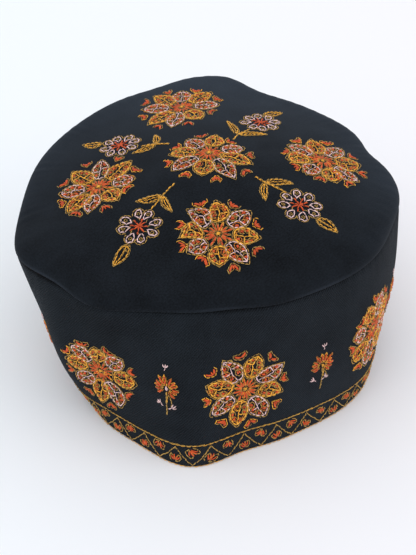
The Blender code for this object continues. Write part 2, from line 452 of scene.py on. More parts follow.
def wall_surface(flat):
    """Points of the wall's outer face at (s, h) of its chart."""
    angle = np.interp(flat[..., 0] % ROUND, ROUND_LENGTHS, ROUND_ANGLES)
    share = flat[..., 1] / (WALL_HEIGHT + seam_lift(angle))
    return wall_point(angle, share, -wall_relief(angle, share))


def crown_surface(flat):
    """Points of the crown's outer face above (x, y) of its plan."""
    angle = np.arctan2(flat[..., 1], flat[..., 0])
    radius = np.hypot(flat[..., 0], flat[..., 1])
    height = dome_height(angle, radius / seam_radius(angle)) + crown_relief(angle, radius)
    return lifted(flat, height)


def surface_normal(surface, flat):
    """Outward direction of the surface: cross product of its two slopes."""
    step = 0.3
    right = surface(flat + (step, 0)) - surface(flat - (step, 0))
    up = surface(flat + (0, step)) - surface(flat - (0, step))
    return unit(np.cross(right, up))


def add_mesh(name, points, corners, starts, materials):
    """A mesh from whole arrays: points in millimetres, the faces' corners and where each begins."""
    mesh = bpy.data.meshes.new(name)
    mesh.vertices.add(len(points))
    mesh.vertices.foreach_set("co", ((points - MIDDLE) * MM).astype(np.float32).ravel())
    mesh.loops.add(len(corners))
    mesh.loops.foreach_set("vertex_index", corners.astype(np.int32))
    mesh.polygons.add(len(starts))
    mesh.polygons.foreach_set("loop_start", starts.astype(np.int32))
    mesh.update(calc_edges=True)
    for material in materials:
        mesh.materials.append(material)
    piece = bpy.data.objects.new(name, mesh)
    bpy.context.scene.collection.objects.link(piece)
    return piece


def add_map(piece, name, corner_values):
    """A named UV map with one pair of values per face corner."""
    layer = piece.data.uv_layers.new(name=name)
    layer.data.foreach_set("uv", corner_values.astype(np.float32).ravel())


def corner_pairs(low, high):
    """UV pairs for the four corners of each face between two rows of points."""
    return np.stack((low[:, :-1], low[:, 1:], high[:, 1:], high[:, :-1]), axis=2)


def add_shell(name, rows, weave, bake_low, bake_high, wear_and_painted_light, material):
    """A closed cloth shell from rows of points, each row going once round the cap.

    Rows that shrink to one point, and a last row that repeats the first, are merged.
    """
    count, columns = rows.shape[:2]
    grid = np.arange(count * columns).reshape(count, columns)
    wrapped = np.concatenate((grid, grid[:, :1]), axis=1)
    corners = corner_pairs(wrapped[:-1], wrapped[1:]).reshape(-1)
    starts = np.arange(0, len(corners), 4)
    piece = add_mesh(name, rows.reshape(-1, 3), corners, starts, [material])
    add_map(piece, "weave", corner_pairs(weave[:-1], weave[1:]))
    add_map(piece, "OFBake", corner_pairs(bake_low, bake_high))
    # Held per point: rubbing of the cloth, together with painted highlights, painted sheen and painted
    # shade
    layer = piece.data.attributes.new("wear_and_painted_light", "FLOAT", "POINT")
    layer.data.foreach_set("value", wear_and_painted_light.astype(np.float32).ravel())
    shell = bmesh.new()
    shell.from_mesh(piece.data)
    bmesh.ops.remove_doubles(shell, verts=shell.verts, dist=0.002 * MM)
    shell.to_mesh(piece.data)
    shell.free()
    piece.data.shade_smooth()
    return piece


def run_lengths(rows):
    """Distance along each column of a grid of rows, from the first row."""
    steps = np.linalg.norm(np.diff(rows, axis=0), axis=-1)
    return np.concatenate((np.zeros((1, rows.shape[1])), np.cumsum(steps, axis=0)))


def closed(values):
    """The same rows with their first column again at the end."""
    return np.concatenate((values, values[:, :1]), axis=1)


def add_wall_cloth(material):
    """The side wall's cloth: up the outside, over the seam edge, down the inside and the hem.

    It is rubbed pale along the rim's edge, has painted shade close under the seam, and has patches of
    painted shadow and painted light.
    """
    angle = FRONT_ANGLE + np.arange(COLUMNS) * 2 * pi / COLUMNS
    rows = []
    for share in np.append((0.0, 0.006, RIM_EDGE_SHARE), np.linspace(0.025, 1.0, 60)):
        edge = RIM_EDGE_INSET * max(0.0, 1 - share / RIM_EDGE_SHARE) ** 2
        rows.append(wall_point(angle, share, edge - wall_relief(angle, share)))
    for share in np.linspace(1.0, (HEM_HEIGHT + HEM_TAPER) / WALL_HEIGHT, 16):
        rows.append(wall_point(angle, share, CLOTH_THICKNESS - wall_relief(angle, share)))
    for height in (HEM_HEIGHT, 9.0, 4.5, 1.0):
        share = height / WALL_HEIGHT
        rows.append(wall_point(angle, share, HEM_THICKNESS - wall_relief(angle, share)))
    rows.append(wall_point(angle, 0.0, HEM_THICKNESS - HEM_EDGE_INSET))
    rows.append(rows[0])
    rows = np.array(rows)
    turn = np.linspace(0, 2 * pi, COLUMNS + 1)
    around = np.interp(turn, ROUND_ANGLES - FRONT_ANGLE, ROUND_LENGTHS)
    along = closed(run_lengths(rows))
    weave = turned(pairs(around, along), -WALL_RIB_TILT)
    share_round = np.linspace(0.003, 0.997, COLUMNS + 1)
    share_along = 0.005 + 0.99 * along / along[-1]
    bake = pairs(share_round, share_along)
    height = rows[..., 2]
    wear_and_painted_light = np.exp(-height / RIM_RUB_REACH)
    # Painted shade in a narrow band close under the seam
    wear_and_painted_light -= SEAM_SHADE * np.exp(-((WALL_HEIGHT - height) / SEAM_SHADE_REACH) ** 2)
    centred = (around[:-1] + ROUND / 2) % ROUND - ROUND / 2
    # Patches of painted shadow and painted light
    wear_and_painted_light += patch_tone(WALL_PAINTED_LIGHT_PATCHES, np.broadcast_to(centred, height.shape), height)
    piece = add_shell("wall_cloth", rows, weave, bake[:-1], bake[1:], wear_and_painted_light, material)
    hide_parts("side_wall")
    return piece


def add_crown_cloth(material):
    """The crown's cloth: the dome, its rolled edge down to the seam, and back along the inside.

    The roll has a painted highlight in a line just above the seam, stronger in some places than others,
    and the crown has painted sheen towards its back and sides.
    """
    angle = FRONT_ANGLE + np.arange(COLUMNS) * 2 * pi / COLUMNS
    rows = []
    for share in np.linspace(0, 1, 54):
        row = dome_point(angle, share)
        row[:, 2] += crown_relief(angle, np.hypot(row[:, 0], row[:, 1]))
        rows.append(row)
    for share in np.linspace(0, 1, 20)[1:]:
        row = roll_point(angle, share)
        row[:, 2] += crown_relief(angle, np.hypot(row[:, 0], row[:, 1])) * (1 - share ** 4)
        rows.append(row)
    outside = len(rows)
    for share in np.linspace(1, 0, 8):
        rows.append(roll_point(angle, share, CLOTH_THICKNESS))
    for share in np.linspace(1, 0, 16)[1:]:
        rows.append(dome_point(angle, share, CLOTH_THICKNESS))
    rows = np.array(rows)
    runs = run_lengths(rows)
    along = closed(runs)
    turn = FRONT_ANGLE + np.linspace(0, 2 * pi, COLUMNS + 1)
    reach = np.where(np.arange(len(rows))[:, None] < outside, along, along[-1] - along)
    weave = turned(reach[..., None] * outward(turn), -CROWN_RIB_TILT)
    spread = OUTER_ISLAND.radius * (reach / reach[:outside].max())
    outer = OUTER_ISLAND.middle + spread[..., None] * outward(turn)
    spread = INNER_ISLAND.radius * (reach / reach[outside:].max())
    inner = INNER_ISLAND.middle + spread[..., None] * outward(turn)
    low = np.concatenate((outer[:outside], inner[outside:-1]))
    high = np.concatenate((outer[1:outside], outer[outside - 1:outside], inner[outside + 1:]))
    above = runs[outside - 1] - runs
    # Painted highlight in a thin line along the roll just above the seam, and a broader paler painted
    # band
    roll_light = ROLL_HIGHLIGHT * np.exp(-(((above - ROLL_HIGHLIGHT_HEIGHT) / ROLL_HIGHLIGHT_REACH) ** 2))
    roll_light = roll_light + ROLL_LIGHT_BAND * np.exp(-np.abs(above) / ROLL_LIGHT_BAND_REACH)
    wear_and_painted_light = (1 + 0.5 * ripple(angle, SWELL_COUNTS, 15)) * roll_light
    # Painted sheen towards the crown's back and sides, and a darker patch at its front
    wear_and_painted_light += patch_tone(CROWN_PAINTED_LIGHT_PATCHES, rows[..., 0], rows[..., 1])
    piece = add_shell("crown_cloth", rows, weave, low, high, wear_and_painted_light, material)
    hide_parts("crown_panel")
    return piece


def all_wall_rosettes():
    """The three rosettes of the chart, and five that share out the rest of the way round."""
    hidden = []
    first = WALL_ROSETTES[1].middle[0]
    step = (WALL_ROSETTES[2].middle[0] + ROUND - first) / (HIDDEN_ROSETTES + 1)
    random = np.random.default_rng(31)
    for number in range(1, HIDDEN_ROSETTES + 1):
        petals = np.array(FRONT_PETALS) + random.uniform(-1, 1, (8, 4)) * PETAL_ERRORS
        height = HIDDEN_ROSETTE_HEIGHT + random.uniform(-HEIGHT_ERROR, HEIGHT_ERROR)
        middle = (first + step * number, height)
        hidden.append(Flower(f"wall_rosette_{number + 2}", middle, GOLD, petals))
    return list(WALL_ROSETTES) + hidden


def all_wall_sprigs():
    """The two sprigs of the chart, and six about halfway between the other rosettes."""
    places = sorted(flower.middle[0] % ROUND for flower in all_wall_rosettes())
    hidden = []
    random = np.random.default_rng(32)
    for number, (here, after) in enumerate(zip(places[1:], places[2:]), start=2):
        height = HIDDEN_SPRIG_HEIGHT + random.uniform(-HEIGHT_ERROR, HEIGHT_ERROR)
        middle = ((here + after) / 2 + HIDDEN_SPRIG_SHIFT, height)
        centre_thread = (GOLD, LILAC)[number % 2]
        hidden.append(Sprig(f"wall_sprig_{number}", middle, centre_thread, HIDDEN_SPRIG_SPOTS))
    return list(WALL_SPRIGS) + hidden


class Needle:
    """Gathers the stitches of one piece on its flat chart, as plain arrays."""

    def __init__(self, seed, painted_light_lift):
        self.random = np.random.default_rng(seed)
        self.painted_light_lift = painted_light_lift
        self.sewn = []

    def sew(self, start, end, thread, width, lift=0.0):
        """Straight stitches from each start to each end, with a hand's small errors."""
        start = np.atleast_2d(np.asarray(start, float))
        end = np.atleast_2d(np.asarray(end, float))
        start = start + self.random.normal(0, HAND_ERROR, start.shape)
        end = end + self.random.normal(0, HAND_ERROR, end.shape)
        wide = width * self.random.uniform(0.88, 1.12, len(start))
        rise = lift + self.random.uniform(0, 0.08, len(start))
        kind = np.full(len(start), thread)
        self.sewn.append((start, end, wide, rise, kind))

    def stitch(self, pair, thread, width, lift=0.0):
        """One straight stitch between a pair of points."""
        self.sew(pair[:1], pair[1:], thread, width, lift)

    def line(self, points, thread, width, stitch=2.2, lift=0.0):
        """Back stitches of about this length along a line of points."""
        points = np.asarray(points, float)
        along = np.append(0, np.cumsum(np.hypot(*np.diff(points, axis=0).T)))
        count = max(1, round(along[-1] / stitch))
        cuts = np.linspace(0, along[-1], count + 1)
        cuts[1:-1] += self.random.uniform(-0.15, 0.15, count - 1) * stitch
        marks = pairs(np.interp(cuts, along, points[:, 0]), np.interp(cuts, along, points[:, 1]))
        self.sew(marks[:-1], marks[1:], thread, width, lift)

    def gathered(self):
        """All starts, ends, widths, rises and threads."""
        return [np.concatenate(group) for group in zip(*self.sewn)]


def add_stitches(name, needle, surface, materials):
    """Every stitch is a short five-sided spindle that arches over the cloth.

    Its rings lie at fixed shares of its length, its ends sink into the cloth, and its
    sides are a flattened circle across the stitch.
    """
    start, end, wide, rise, kind = needle.gathered()
    total = len(start)
    share = STITCH_SHARES[:, None]
    flat = start[:, None] * (1 - share) + end[:, None] * share
    spine = surface(flat)
    out = surface_normal(surface, flat)
    along = unit(spine[:, -1:] - spine[:, :1])
    side = unit(np.cross(out, along))
    spine = spine + out * (rise[:, None] + STITCH_RISE + 0.12 * wide[:, None])[..., None]
    thick = 0.5 * wide[:, None] * STITCH_TAPER
    turn = 2 * pi * (np.arange(STITCH_SIDES) + 0.5) / STITCH_SIDES
    across = np.cos(turn)[:, None] * side[:, :, None] + 0.8 * np.sin(turn)[:, None] * out[:, :, None]
    points = spine[:, :, None] + thick[..., None, None] * across

    rings = len(STITCH_SHARES)
    ring = np.arange(rings * STITCH_SIDES).reshape(rings, STITCH_SIDES)
    after = np.roll(ring, -1, axis=1)
    sides = np.stack((ring[:-1], after[:-1], after[1:], ring[1:]), axis=-1).reshape(-1)
    pattern = np.concatenate((sides, ring[0, ::-1], ring[-1]))
    starts = np.append(np.arange(0, len(sides), 4), (len(sides), len(sides) + STITCH_SIDES))
    number = np.arange(total)[:, None]
    corners = (pattern + number * ring.size).ravel()
    all_starts = (starts + number * len(pattern)).ravel()
    piece = add_mesh(name, points.reshape(-1, 3), corners, all_starts, materials)

    near = np.arange(STITCH_SIDES) / STITCH_SIDES
    far = near + 1 / STITCH_SIDES
    low = STITCH_SHARES[:-1, None]
    high = STITCH_SHARES[1:, None]
    wrap = np.stack((pairs(near, low), pairs(far, low), pairs(far, high), pairs(near, high)), axis=2)
    cap = pairs(near, 0.0)
    wrap = np.concatenate((wrap.reshape(-1, 2), cap[::-1], cap + (0, 1)))
    # Random tones, lifted paler as painted light on the wall's rosettes and border
    tone = needle.random.integers(0, TONES, total) + needle.painted_light_lift
    add_map(piece, "thread", np.tile(wrap, (total, 1)))
    cell = pairs(tone, kind)[:, None] + 0.06 + 0.88 * wrap
    add_map(piece, "OFBake", cell / (TONES + WALL_PAINTED_LIGHT_TONES, len(THREADS)))
    faces = len(starts)
    layer = piece.data.attributes.new("tone", "FLOAT", "FACE")
    layer.data.foreach_set("value", np.repeat((tone + 0.5) / TONES, faces).astype(np.float32))
    piece.data.polygons.foreach_set("material_index", np.repeat(kind, faces).astype(np.int32))
    piece.data.shade_smooth()
    return piece


def turned(points, angle, middle=(0.0, 0.0)):
    """Points turned anticlockwise about the origin, then moved to the middle."""
    points = np.asarray(points, float)
    turn = np.array(((cos(angle), sin(angle)), (-sin(angle), cos(angle))))
    return points @ turn + middle


def leaf(length, half_width, bend=0.0, count=15, point=1.0, foot=0.6):
    """Closed outline of a petal or leaf along +X: round at its foot, pointed at its tip.

    Half the width at share t of the length is a multiple of (1 - t) to one power, which
    sharpens the tip, times t to another, which rounds the foot.
    """
    share = np.linspace(0, 1, count)
    widest = foot / (foot + point)
    half = half_width * ((1 - share) / (1 - widest)) ** point * (share / widest) ** foot
    bow = bend * np.sin(pi * share)
    upper = pairs(length * share, bow + half)
    lower = pairs(length * share, bow - half)
    return np.concatenate((upper, lower[::-1][1:]))


def arc(radius, first, last, middle=(0.0, 0.0), count=13):
    """Points along part of a circle, angles in degrees."""
    return outward(np.radians(np.linspace(first, last, count))) * radius + middle


def petal_edges(length, half_width, bend, point, widest):
    """The two sides of a broad petal along +X, from its rounded foot to its pointed arch.

    From its widest place to the tip half the width falls as one less a power of the
    share of the way, and towards the foot as a quarter of an ellipse, cut short.
    """
    share = np.append(0, np.linspace(0, 1, 12))
    towards_tip = np.clip((share - widest) / (1 - widest), 0, 1)
    towards_foot = np.clip(1 - share / widest, 0, 1)
    half = half_width * (1 - towards_tip ** point) * np.sqrt(1 - 0.85 * towards_foot ** 2)
    half[0] = 0
    bow = bend * np.sin(pi * share)
    return [pairs(length * share, bow + side * half) for side in (1, -1)]


def bud(needle, spot, angle, ring, size):
    """A small round bud: red stitches ringed in another thread."""
    random = needle.random
    turn = angle + random.uniform(-0.7, 0.7)
    for aside in (-0.32, 0.32):
        pair = np.array(((-0.85, aside), (0.85, aside))) * size
        needle.stitch(turned(pair, turn, spot), RED, 0.68 * size, 0.02)
    start = random.uniform(0, 360)
    rim = arc(1.5 * size, start, start + random.uniform(320, 400), count=11) * (1.3, 0.98)
    needle.line(turned(rim, angle + random.uniform(-0.3, 0.3), spot), ring, 0.5, 1.6, 0.05)


def petal(needle, middle, chart, thread):
    """A petal: an olive outline close round a bright one, parted by bent veins, a bud in each cell.

    A gold petal also has an amber line inside its own.
    """
    random = needle.random
    angle, reach, bend, half_width = chart
    angle = radians(angle)
    length = reach - PETAL_FOOT
    point = random.uniform(1.7, 2.6)
    widest = random.uniform(0.42, 0.54)

    def put(points):
        return turned(np.asarray(points, float) + (PETAL_FOOT, 0), angle, middle)

    def bow(along):
        return bend * np.sin(pi * along / length)

    for edge in petal_edges(length, half_width + 0.3, bend, point - 0.4, widest):
        needle.line(put(edge), OLIVE, 0.46, 2.0)
    for edge in petal_edges(length - 2.2, half_width - 0.4, bend, point, widest):
        needle.line(put(edge + (0.7, 0)), thread, PETAL_OUTLINE[thread], 2.4, 0.05)
    if thread == GOLD:
        for edge in petal_edges(length - 4.4, half_width - 1.4, bend * 0.9, point, widest):
            needle.line(put(edge + (1.7, 0)), AMBER, 0.48, 2.2, 0.04)
    side = random.choice((-1, 1))
    near = length * random.uniform(0.36, 0.46)
    far = length * random.uniform(0.5, 0.6)
    near_aside = bow(near) + side * random.uniform(0.0, 0.18) * half_width
    far_aside = bow(far) - side * random.uniform(0.0, 0.18) * half_width
    veins = (
        ((0.9, random.uniform(-0.6, 0.6)), (near, near_aside), (far, far_aside), (length - 1.9, 0.0)),
        ((near, near_aside), (near + random.uniform(-0.8, 0.8), bow(near) + side * (half_width - 0.7))),
        ((far, far_aside), (far + random.uniform(-0.8, 0.8), bow(far) - side * (half_width - 0.8))),
    )
    for vein in veins:
        needle.line(put(vein), thread, PETAL_VEIN[thread], 2.4, 0.08)
    size = min(1.3, half_width / 3.9) * BUD_SCALE[thread]
    cells = ((0.23, side * 0.44), (0.3, -side * 0.46), (0.67, side * 0.42), (0.74, -side * 0.3),
             (0.5, side * 0.62), (0.48, -side * 0.62))
    for along, across in cells:
        reached = along * length + random.uniform(-0.3, 0.3)
        spot = put(((reached, bow(reached) + across * half_width),))[0]
        ring = AMBER if random.random() < 0.35 else OLIVE
        bud(needle, spot, angle, ring, size)


def spoke(needle, middle, angle, length):
    """A red spoke of the hub with olive or gold threads along its sides."""
    inside = 1.5
    line = turned(((inside + 0.3, 0.0), (inside + length * 0.85, 0.0)), angle, middle)
    needle.line(line, RED, 0.84, 3.2, 0.04)
    thread = GOLD if needle.random.random() < 0.3 else OLIVE
    for side in (-1, 1):
        edge = ((inside, side * 0.22), (inside + length * 0.55, side * 0.72),
                (inside + length, side * 0.1))
        needle.line(turned(edge, angle, middle), thread, 0.32, 3.0)


def heart(needle, spot, angle):
    """A small heart: two red arms that open outwards, outlined round their corner in olive or gold.

    Some have a red stitch between the arms, and some an olive line across their ends.
    """
    random = needle.random
    turn = angle + random.uniform(-0.35, 0.35)
    spread = random.uniform(0.6, 1.05)
    ends = []
    for side in (-1, 1):
        reach = random.uniform(2.9, 3.8)
        end = (reach * cos(spread) - 1.3, side * reach * sin(spread))
        ends.append(end)
        for aside in (0.0, 0.5):
            arm = ((aside - 1.35, side * 0.15), (end[0] + aside * 0.8, end[1] - side * aside * 0.5))
            needle.stitch(turned(arm, turn, spot), RED, 0.74, 0.03)
    if random.random() < 0.6:
        between = ((-1.0, 0.0), (random.uniform(0.4, 1.2), 0.0))
        needle.stitch(turned(between, turn, spot), RED, 0.8, 0.03)
    (low_x, low_y), (high_x, high_y) = ends
    outline = ((low_x + 1.3, low_y - 0.3), (low_x - 0.5, low_y - 0.95), (-2.5, 0.0),
               (high_x - 0.5, high_y + 0.95), (high_x + 1.3, high_y + 0.3))
    needle.line(turned(outline, turn, spot), (OLIVE, GOLD)[random.integers(2)], 0.44, 2.2)
    if random.random() < 0.6:
        close = ((high_x + 1.3, high_y + 0.3), (1.0, 0.0), (low_x + 1.3, low_y - 0.3))
        needle.line(turned(close, turn, spot), OLIVE, 0.4, 2.2)


def rosette(needle, flower):
    """Eight petals round a wheel, gold and lilac in turn, with a small heart between the tips."""
    random = needle.random
    petals = np.array(flower.petals, float)
    middle = np.array(flower.middle, float)
    gaps = (np.roll(petals[:, 0], -1) - petals[:, 0]) % 360
    other = LILAC if flower.first == GOLD else GOLD
    for number, chart in enumerate(petals):
        petal(needle, middle, chart, (flower.first, other)[number % 2])
        angle = radians(chart[0])
        between = radians(chart[0] + gaps[number] / 2)
        spoke(needle, middle, angle + random.uniform(-0.06, 0.06), 4.6)
        spoke(needle, middle, between + random.uniform(-0.06, 0.06), random.uniform(5.4, 6.8))
        reach = (chart[1] + petals[(number + 1) % 8, 1]) / 2
        reach *= 0.97 - 0.006 * max(0.0, gaps[number] - 40)
        heart(needle, middle + reach * outward(between), between)
    needle.line(arc(1.45, 0, 350, middle, 9), OLIVE, 0.36, 1.8, 0.02)
    for aside in (-0.35, 0.35):
        needle.sew(middle + (-0.85, aside), middle + (0.85, aside), GOLD, 0.72, 0.12)


def lobe(needle, middle, angle, distance):
    """A lobe of the sprig's flower: an olive scallop, an uneven lilac ring and a small diamond."""
    random = needle.random
    centre = np.asarray(middle) + distance * outward(angle)
    scallop = arc(3.1, -110, 110, count=9) * (1.0, 0.95)
    needle.line(turned(scallop, angle, centre), OLIVE, 0.48, 2.0)
    count = random.integers(5, 7)
    turns = np.radians(np.linspace(180, 540, count + 1)[:-1] + random.uniform(-12, 12, count))
    reach = 2.15 * random.uniform(0.85, 1.12, count)
    reach[0] = 3.0
    corners = outward(turns) * reach[:, None] * (1.12, 0.92)
    for start, end in zip(corners, np.roll(corners, -1, axis=0)):
        needle.sew(turned((start,), angle, centre), turned((end,), angle, centre), LILAC, 0.6, 0.05)
    diamond = arc(0.95, 0, 360, count=5)
    needle.line(turned(diamond, angle, centre), OLIVE, 0.42, 1.4, 0.02)


def veined_leaf(needle, foot, tip, half_width, bend, dashes):
    """A leaf from foot to tip: an olive outline round a gold one, a gold rib, and olive dashes."""
    foot = np.asarray(foot, float)
    way = np.asarray(tip, float) - foot
    length = np.hypot(*way)
    angle = np.arctan2(way[1], way[0])
    needle.line(turned(leaf(length, half_width, bend), angle, foot), OLIVE, 0.46, 2.1)
    inner = leaf(length - 1.8, half_width - 0.6, bend * 0.95) + (0.8, 0)
    needle.line(turned(inner, angle, foot), GOLD, 0.5, 2.3, 0.05)
    rib = ((1.0, 0.2 * bend), (length * 0.5, bend), (length * 0.85, bend * 0.6))
    needle.line(turned(rib, angle, foot), GOLD, 0.45, 2.0, 0.06)
    for share in np.linspace(0.2, 0.7, dashes):
        dash = ((length * share, bend * 0.8 - half_width * 0.5),
                (length * share + 1.0, bend * 0.8 + half_width * 0.5))
        needle.line(turned(dash, angle, foot), OLIVE, 0.4, 2.5, 0.04)


def sprig_places(sprig):
    """The middle of a sprig's flower and the places of its spots."""
    middle = np.array(sprig.middle, float)
    return middle, {name: middle + reach * outward(radians(angle))
                    for name, (angle, reach) in sprig.spots.items()}


def crown_sprig(needle, sprig):
    """An eight-lobed flower with a red star, on a stem with two leaves, and a leaf on its far side."""
    random = needle.random
    middle, spots = sprig_places(sprig)
    for number in range(8):
        angle = radians(8 + 45 * number) + random.uniform(-0.09, 0.09)
        lobe(needle, middle, angle, 7.6 + random.uniform(-0.3, 0.4))
        star = angle + 0.36 + random.uniform(-0.12, 0.12)
        reach = 4.9 * random.uniform(0.8, 1.1)
        aside = random.uniform(-0.5, 0.5)
        needle.line(turned(((0.2, 0), (reach, aside)), star, middle), sprig.heart, 0.74, 2.7, 0.06)
        needle.line(turned(((5.2, 1.5), (3.4, 0.3), (3.6, 0.0)), angle + 0.39, middle), OLIVE, 0.4, 1.8)
    halfway = (spots["stem"] + spots["fork"]) / 2 + (0.4, 0.3)
    stem = np.array((spots["stem"], halfway, spots["fork"], spots["end"]))
    needle.line(stem, GOLD, 0.6, 2.2, 0.03)
    needle.line(stem + (0.5, 0.35), OLIVE, 0.45, 2.0)
    veined_leaf(needle, spots["fork"], spots["leaf"], 2.3, 0.9, 0)
    veined_leaf(needle, spots["fork"], spots["small_leaf"], 1.9, -0.8, 2)
    veined_leaf(needle, spots["outer_foot"], spots["outer_tip"], 3.0, 0.7, 1)
    halfway = (spots["outer_foot"] + spots["outer_tip"]) / 2
    needle.line(np.array((spots["outer_foot"], halfway)) + (0.9, -0.4), OLIVE, 0.4, 2.0)


def small_sprig(needle, spot, angle):
    """Three short lilac stitches that fan out, on a stalk."""
    for aside in (-35, 0, 35):
        needle.stitch(turned(((0.3, 0), (2.3, 0)), angle + radians(aside), spot), LILAC, 0.6, 0.03)
    needle.stitch(turned(((0.2, 0), (-1.8, 0.3)), angle, spot), LILAC, 0.45)


def wall_sprig(needle, sprig):
    """A fan of red petals round a pale heart, a lilac bud above it, and below it two stems and twigs."""
    random = needle.random
    middle, spots = sprig_places(sprig)
    for angle in np.radians(np.linspace(-48, 212, 12)):
        angle = angle + random.uniform(-0.08, 0.08)
        reach = (6.5 + 1.7 * max(0.0, sin(angle)) ** 2) * random.uniform(0.93, 1.07)
        needle.line(turned(((2.6, 0), (reach * 0.88, 0)), angle, middle), RED, 0.9, 2.9, 0.06)
        edge = leaf(reach - 1.4, 0.95, random.uniform(-0.2, 0.2), 7, point=0.8)
        thread = (OLIVE, AMBER, GOLD)[random.integers(3)]
        needle.line(turned(edge + (1.4, 0), angle, middle), thread, 0.36, 2.3)
    needle.sew(middle + (0, -1.1), middle + (0, 1.0), sprig.heart, 0.8, 0.15)
    needle.sew(middle + (0.6, -0.8), middle + (0.5, 0.6), sprig.heart, 0.7, 0.1)
    small_sprig(needle, spots["bud"], radians(90))
    stem = np.array((middle + (0, -1.8), middle + (0.15, -8.0), spots["stem"]))
    needle.line(stem, OLIVE, 0.62, 2.1)
    needle.line(stem[:2] + (0.45, 0.1), GOLD, 0.4, 1.9)
    branch = np.array((middle + (0.9, -3.0), middle + (2.3, -5.5), spots["side_stem"] + (0.4, 0)))
    needle.line(branch, OLIVE, 0.5, 2.0)
    small_sprig(needle, spots["left_twig"], radians(140))
    small_sprig(needle, spots["right_twig"], radians(40))


def border_bud(needle, spot, angle, size):
    """A bud of the border: thin red dashes fanned out in a heart of olive stitches."""
    for side in (-1, 1):
        wing = turned(leaf(5.2, 1.45, 0.35 * side, 7), radians(25) * side) * size
        needle.line(turned(wing - (2.5 * size, 0), angle, spot)[1:], OLIVE, 0.52, 1.9)
    for lean in (-0.62, -0.2, 0.22, 0.6):
        fan = lean + needle.random.uniform(-0.1, 0.1)
        dash = turned(np.array(((0.9, 0.0), (4.4 - abs(lean), 0.0))) * size, fan) - (2.4 * size, 0)
        needle.stitch(turned(dash, angle, spot), RED, 0.72, 0.03)


def border_lines(needle):
    """The border's double line of back stitch, its zigzag and the line round the rim's edge."""
    around = np.linspace(0, ROUND, 700)
    wave = 0.25 * np.sin(around / 23) + 0.18 * np.sin(around / 9 + 1)
    needle.line(pairs(around, BORDER_TOP + wave), OLIVE, 0.55, 2.1, 0.04)
    needle.line(pairs(around, BORDER_SECOND_LINE + wave), GOLD, 0.32, 2.6)
    needle.line(pairs(around, RIM_LINE), GOLD, 0.32, 2.4)
    for start, peak, end in zip(BORDER_FEET, BORDER_PEAKS, BORDER_FEET[1:]):
        for foot in (start, end):
            side = np.sign(peak - foot)
            share = np.linspace(0, 1, 7)
            across = foot + (peak - foot) * share + side * 0.5 * np.sin(pi * share)
            height = 1.4 + 10.4 * share + needle.random.uniform(-0.3, 0.3)
            needle.line(pairs(across, height), OLIVE, 0.56, 2.0)


def border_buds(needle):
    """A bud in each triangle of the zigzag: higher ones hang between peaks, lower ones stand."""
    for start, peak in zip(BORDER_FEET, BORDER_PEAKS):
        tilt = needle.random.uniform(-0.7, 0.7, 2)
        sizes = needle.random.uniform(0.95, 1.15, 2)
        border_bud(needle, (start, 8.9), radians(-90) + tilt[0], sizes[0])
        border_bud(needle, (peak, 4.9), radians(90) + tilt[1], sizes[1])


def math_node(tree, operation, *values):
    """A Math node whose inputs are numbers or other nodes' outputs."""
    node = tree.nodes.new("ShaderNodeMath")
    node.operation = operation
    for socket, value in zip(node.inputs, values):
        if isinstance(value, (int, float)):
            socket.default_value = value
        else:
            tree.links.new(value, socket)
    return node.outputs[0]


def set_sockets(node, values):
    """Fixed values on a node's named sockets."""
    for name, value in values.items():
        node.inputs[name].default_value = value


def noise_node(tree, place, scale, detail):
    """Soft noise at these places."""
    node = tree.nodes.new("ShaderNodeTexNoise")
    set_sockets(node, {"Scale": scale, "Detail": detail})
    tree.links.new(place, node.inputs["Vector"])
    return node.outputs["Fac"]


def attribute_node(tree, name):
    """The value that a piece's mesh holds under this name."""
    node = tree.nodes.new("ShaderNodeAttribute")
    node.attribute_name = name
    return node.outputs["Fac"]


def chart_nodes(tree, name):
    """A place on the UV map of this name, and its two coordinates."""
    chart = tree.nodes.new("ShaderNodeUVMap")
    chart.uv_map = name
    split = tree.nodes.new("ShaderNodeSeparateXYZ")
    tree.links.new(chart.outputs["UV"], split.inputs[0])
    return chart.outputs["UV"], split.outputs["X"], split.outputs["Y"]


def new_group(name, inputs, outputs):
    """A node group with sockets of these names and types, and its two end nodes."""
    group = bpy.data.node_groups.new(name, "ShaderNodeTree")
    for direction, sockets in (("INPUT", inputs), ("OUTPUT", outputs)):
        for label, kind in sockets.items():
            group.interface.new_socket(label, in_out=direction, socket_type=kind)
    return group, group.nodes.new("NodeGroupInput"), group.nodes.new("NodeGroupOutput")


def new_material(name):
    """A material with nodes, and its shader."""
    material = bpy.data.materials.new(name)
    material.use_nodes = True
    return material, material.node_tree, material.node_tree.nodes["Principled BSDF"]


def add_bump(tree, shader, height, strength, depth):
    """Relief of this depth in millimetres on the shader's normal."""
    bump = tree.nodes.new("ShaderNodeBump")
    set_sockets(bump, {"Strength": strength, "Distance": depth * MM})
    tree.links.new(height, bump.inputs["Height"])
    tree.links.new(bump.outputs["Normal"], shader.inputs["Normal"])


